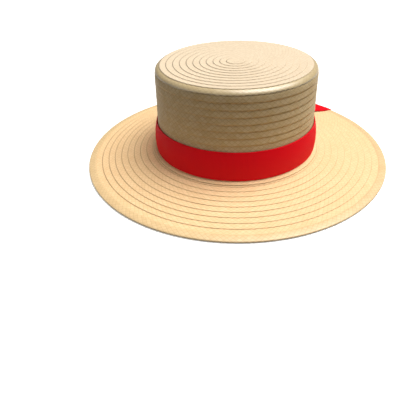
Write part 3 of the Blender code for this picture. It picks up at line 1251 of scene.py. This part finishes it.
@dataclass
class RibbonTails:
    """Two tails that run from under the bow over the brim and are cut along its edge."""

    form: HatForm
    cloth: bpy.types.Material
    width: float = 0.0315
    neck: float = 0.0110
    neck_step: float = 0.0072
    neck_out: float = 0.0010  # how far out from the band it starts, under the knot
    end_turn: float = math.radians(24)
    heading: float = math.radians(35)
    last_run: float = 0.0330
    foot_width: float = 0.0046
    thickness: float = 0.0007
    wave_rise: float = 0.0012
    wave_count: float = 2.5  # half waves along it
    wave_lean: float = 1.2  # how much further on they are at one edge than at the other
    gather_end: float = 0.35  # share of its length over which the neck's pleats fade out
    gather_rise: float = 0.6  # of the pleats, as a share of the wave's
    neck_pleats: int = 3
    cut_share: float = 0.8  # its cut area over length times width
    steps: int = 14
    path_points: int = 201

    def under(self, radius: np.ndarray) -> np.ndarray:
        """Height of a tail's under side: over the crown's foot, the brim and the bound edge.

        It is the brim's height, the clearance, and the smooth steps over the other two.

        Args:
            radius: Distance from the hat's axis.

        Returns:
            The height at each radius.
        """
        form = self.form
        lap = form.hat_radius - form.edge_lap
        on_foot = 1 - blend(radius, form.foot_end, form.foot_end + 2 * self.foot_width)
        on_edge = blend(radius, lap - form.edge_lap, lap)
        lift = on_foot * (form.foot_top(radius) - form.brim_top(radius))
        lift += on_edge * (form.edge_cover(radius) - form.brim_top(radius))
        return form.brim_top(radius) + form.gap + lift

    def build(self) -> None:
        """Makes both tails."""
        for side in Side:
            self.tail(side)

    def outline(self, share: np.ndarray, across: np.ndarray) -> np.ndarray:
        """Plan of the left tail: a quadratic loft through three rows of its width.

        The rows are the neck at the knot, the bend where the last run starts, and the cut end
        on the brim's edge. A point is the sum of the rows' points, weighted by (1 - t)^2,
        2 t (1 - t) and t^2.

        Args:
            share: Share t of the tail's length, in a column.
            across: Place across the tail, in a row.

        Returns:
            Grid of x and y.
        """
        form = self.form
        end = form.hat_radius - form.edge_wall
        start = np.array([self.neck_step, form.band_radius(form.band_foot) + self.neck_out])
        corner = np.array([math.sin(self.end_turn), math.cos(self.end_turn)]) * end
        ahead = np.array([math.sin(self.heading), math.cos(self.heading)])
        bend = corner - self.last_run * ahead
        way_out = math.atan2(*(bend - start))
        bend_way = (way_out + self.heading) / 2
        turn = self.end_turn + across * self.width / end / math.cos(self.heading - self.end_turn)
        rows = [
            self.beside(start, 0.0, across * self.neck),
            self.beside(bend, bend_way, across * self.width),
            np.stack([end * np.sin(turn), end * np.cos(turn)], axis=-1),
        ]
        weights = [(1 - share) ** 2, 2 * share * (1 - share), share**2]
        return sum(weight[..., None] * row for weight, row in zip(weights, rows))

    @staticmethod
    def beside(point: np.ndarray, heading: float, step: np.ndarray) -> np.ndarray:
        """Points this far to the outer side of another, square to a heading from straight back."""
        return point + step[..., None] * np.array([math.cos(heading), -math.sin(heading)])

    def tail(self, side: Side) -> None:
        """One tail, with a slow wave that lifts it off the brim a little.

        Args:
            side: Which tail.
        """
        across = ribbon_columns(self.width, self.steps)
        fine = np.linspace(0, 1, self.path_points)[:, None]
        shares, ribs, length = rib_stations(self.outline(fine, np.zeros((1, 1)))[:, 0])
        share = shares[:, None]
        plan = self.outline(share, -side.value * across[None, :])
        radius = np.hypot(plan[..., 0], plan[..., 1])
        phase = self.wave_count * math.pi * share + self.wave_lean * across
        sway = np.sin(math.pi * share) ** 2 * np.sin(phase) ** 2
        pleats = 0.5 * (1 + np.cos(math.tau * self.neck_pleats * across))
        gather = (1 - blend(share, 0.0, self.gather_end)) * pleats
        lift = self.wave_rise * (sway + self.gather_rise * gather)
        height = self.under(radius) + self.thickness / 2 + RIB_RISE + lift
        grid = np.stack([side.value * plan[..., 0], plan[..., 1], height], axis=-1)
        parts = ribbon_body(grid, self.thickness, ribs, across, self.width)
        name = f"ribbon_tail_{side.word}"
        piece = place_piece(parts, f"{name}_cloth", Slot.RIBBON, self.cloth, name)


@dataclass(frozen=True)
class SoftBox:
    """A square lamp, placed in the viewer's axes."""

    name: str
    place: tuple[float, float, float]
    size: float  # its side
    power: float  # in watts
    colour: str


@dataclass
class Studio:
    """Camera, lights and floor, placed from the photograph's viewpoint."""

    heading: float = math.radians(27)  # turn of the viewpoint round the hat
    eye: tuple[float, float, float] = (-0.0339, -0.4447, 0.2433)
    pitch: float = math.radians(37.556)
    roll: float = math.radians(1.849)
    sensor_width: float = 36.0  # mm, like the focal length
    focal_length: float = 33.60
    nearest: float = 0.01  # nothing closer to the camera is drawn
    lamps: tuple[SoftBox, ...] = (
        SoftBox("key", (1.40, 0.20, 3.60), 3.0, 236.0, "#FFFDF8"),
        SoftBox("fill", (-2.2, -0.5, 0.7), 1.0, 5.5, "#FFFFFF"),
    )
    lit_place: tuple[float, float, float] = (0.0, 0.0, 0.05)  # what the lamps face
    world_light: float = 0.10
    floor_size: float = 3.2
    floor_glow: float = 0.35  # light of its own, so that it stays white away from the key
    wall_radius: float = 4.0
    wall_ends: tuple[float, float] = (-4.0, 8.0)
    wall_columns: int = 64

    @property
    def turn(self) -> Matrix:
        """Turn from the viewer's axes, x to the right and y ahead, to the hat's."""
        return Matrix.Rotation(self.heading, 4, "Z")

    def build(self) -> None:
        """Makes the camera, the lights, the world and the floor, shown in plain sRGB."""
        bpy.context.scene.view_settings.view_transform = "Standard"
        self.camera()
        for lamp in self.lamps:
            self.light(lamp)
        self.world()
        self.floor()
        self.backdrop()

    def camera(self) -> None:
        """Camera at the viewpoint: it looks down by its pitch and leans by its roll."""
        ahead = Vector((0.0, math.cos(self.pitch), -math.sin(self.pitch)))
        right = Vector((1.0, 0.0, 0.0))
        up = Vector((0.0, math.sin(self.pitch), math.cos(self.pitch)))
        x_axis = right * math.cos(self.roll) - up * math.sin(self.roll)
        y_axis = right * math.sin(self.roll) + up * math.cos(self.roll)
        axes = Matrix((x_axis, y_axis, -ahead)).transposed().to_4x4()
        data = bpy.data.cameras.new("viewpoint")
        data.sensor_width = self.sensor_width
        data.lens = self.focal_length
        data.clip_start = self.nearest
        camera = bpy.data.objects.new("viewpoint", data)
        camera.matrix_world = self.turn @ Matrix.Translation(self.eye) @ axes
        bpy.context.scene.collection.objects.link(camera)
        bpy.context.scene.camera = camera

    def light(self, lamp: SoftBox) -> None:
        """Hangs a lamp in its place, facing the hat.

        Args:
            lamp: The lamp.
        """
        data = bpy.data.lights.new(lamp.name, "AREA")
        data.size = lamp.size
        data.energy = lamp.power
        data.color = linear_colour(lamp.colour)[:3]
        hung = bpy.data.objects.new(lamp.name, data)
        way = Vector(self.lit_place) - Vector(lamp.place)
        facing = way.to_track_quat("-Z", "Y").to_matrix().to_4x4()
        hung.matrix_world = self.turn @ Matrix.Translation(lamp.place) @ facing
        bpy.context.scene.collection.objects.link(hung)

    def world(self) -> None:
        """Even pale light from all round."""
        world = bpy.data.worlds.new("studio")
        world.use_nodes = True
        background = world.node_tree.nodes["Background"]
        inputs = {"Color": linear_colour("#FFFFFF"), "Strength": self.world_light}
        set_inputs(world.node_tree, background, inputs, {})
        bpy.context.scene.world = world

    @staticmethod
    def stage_piece(
        name: str, points: list, quads: list, material: bpy.types.Material
    ) -> bpy.types.Object:
        """Makes a plain object beside the hat, which throws no light on it.

        Args:
            name: The object's name.
            points: Its points.
            quads: Its quads.
            material: Its only material.

        Returns:
            The linked object.
        """
        mesh = bpy.data.meshes.new(name)
        mesh.from_pydata(points, [], quads)
        mesh.materials.append(material)
        piece = bpy.data.objects.new(name, mesh)
        piece.visible_diffuse = False
        bpy.context.scene.collection.objects.link(piece)
        return piece

    def floor(self) -> None:
        """Plain white floor, which isn't part of the hat."""
        half = self.floor_size / 2
        corners = [(-half, -half, 0), (half, -half, 0), (half, half, 0), (-half, half, 0)]
        # Matt paper has no highlight, so the ground is as white from every side.
        paper = {
            "Base Color": linear_colour("#F7F7F7"),
            "Roughness": 0.9,
            "Emission Color": linear_colour("#FFFFFF"),
            "Emission Strength": self.floor_glow,
        }
        material = build_material("matt white paper", [], paper, "#F7F7F7")
        floor = self.stage_piece("floor", corners, [(0, 1, 2, 3)], material)

    def backdrop(self) -> None:
        """White wall of paper round the floor, lit evenly, which isn't part of the hat.

        It is a cylinder: points evenly round a circle, at two heights.
        """
        count = self.wall_columns
        angle = np.linspace(0, math.tau, count, endpoint=False)
        ring = np.stack([np.cos(angle), np.sin(angle)], axis=-1) * self.wall_radius
        low, high = (np.column_stack([ring, np.full(count, end)]) for end in self.wall_ends)
        number = np.arange(count)
        ahead = (number + 1) % count
        quads = np.stack([number, number + count, ahead + count, ahead], axis=-1)
        # Paper that is lit from behind looks the same white all over, without any shading.
        paper = {
            "Base Color": linear_colour("#000000"),
            "Specular IOR Level": 0.0,
            "Emission Color": linear_colour("#FFFFFF"),
            "Emission Strength": 1.0,
        }
        material = build_material("lit white paper", [], paper, "#FFFFFF")
        points = np.concatenate([low, high]).tolist()
        wall = self.stage_piece("backdrop", points, quads.tolist(), material)
        wall.visible_glossy = False


def main() -> None:
    """Builds the studio and the hat's sub-assemblies in order."""
    logging.basicConfig(level=logging.INFO, format="%(name)s: %(message)s")
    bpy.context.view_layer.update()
    form = HatForm()
    Studio().build()
    tip = StrawFinish("wheat straw braid, crown tip", "#EAD8BF", "#DDCAAF", "#C8B090")
    # The rounded corner is a darker copy of the brim's straw: painted shade where it turns away
    # from the key light.
    bend = StrawFinish(
        "wheat straw braid, crown corner, painted shade", "#D5C29B", "#C5AE84", "#AA9166", 0.32, 1.0
    )
    # The side is a darker copy of the brim's straw: painted shade, as the side faces away from the
    # key light.
    side = StrawFinish("wheat straw braid, crown side, painted shade", "#DCC9A2", "#C8AD7E", "#A8895E")
    brim = StrawFinish("wheat straw braid, brim", "#FCDAAC", "#EFC997", "#CEA676")
    # The bound edge is a darker copy of the brim's straw: painted shade of its turned-down lip.
    edge = StrawFinish(
        "bound straw braid, brim edge, painted shade", "#F0D3A4", "#E0BF8D", "#BE986A", 0.38, 0.6
    )
    plate = brim.material()
    StrawCrown(form).build(tip.material(), bend.material(), side.material(), plate)
    StrawBrim(form).build(plate, edge.material())
    cloth = GrosgrainFinish().material()
    for part in (HatBand(form, cloth), FlatBow(form, cloth), RibbonTails(form, cloth)):
        part.build()


if __name__ == "__main__":
    main()
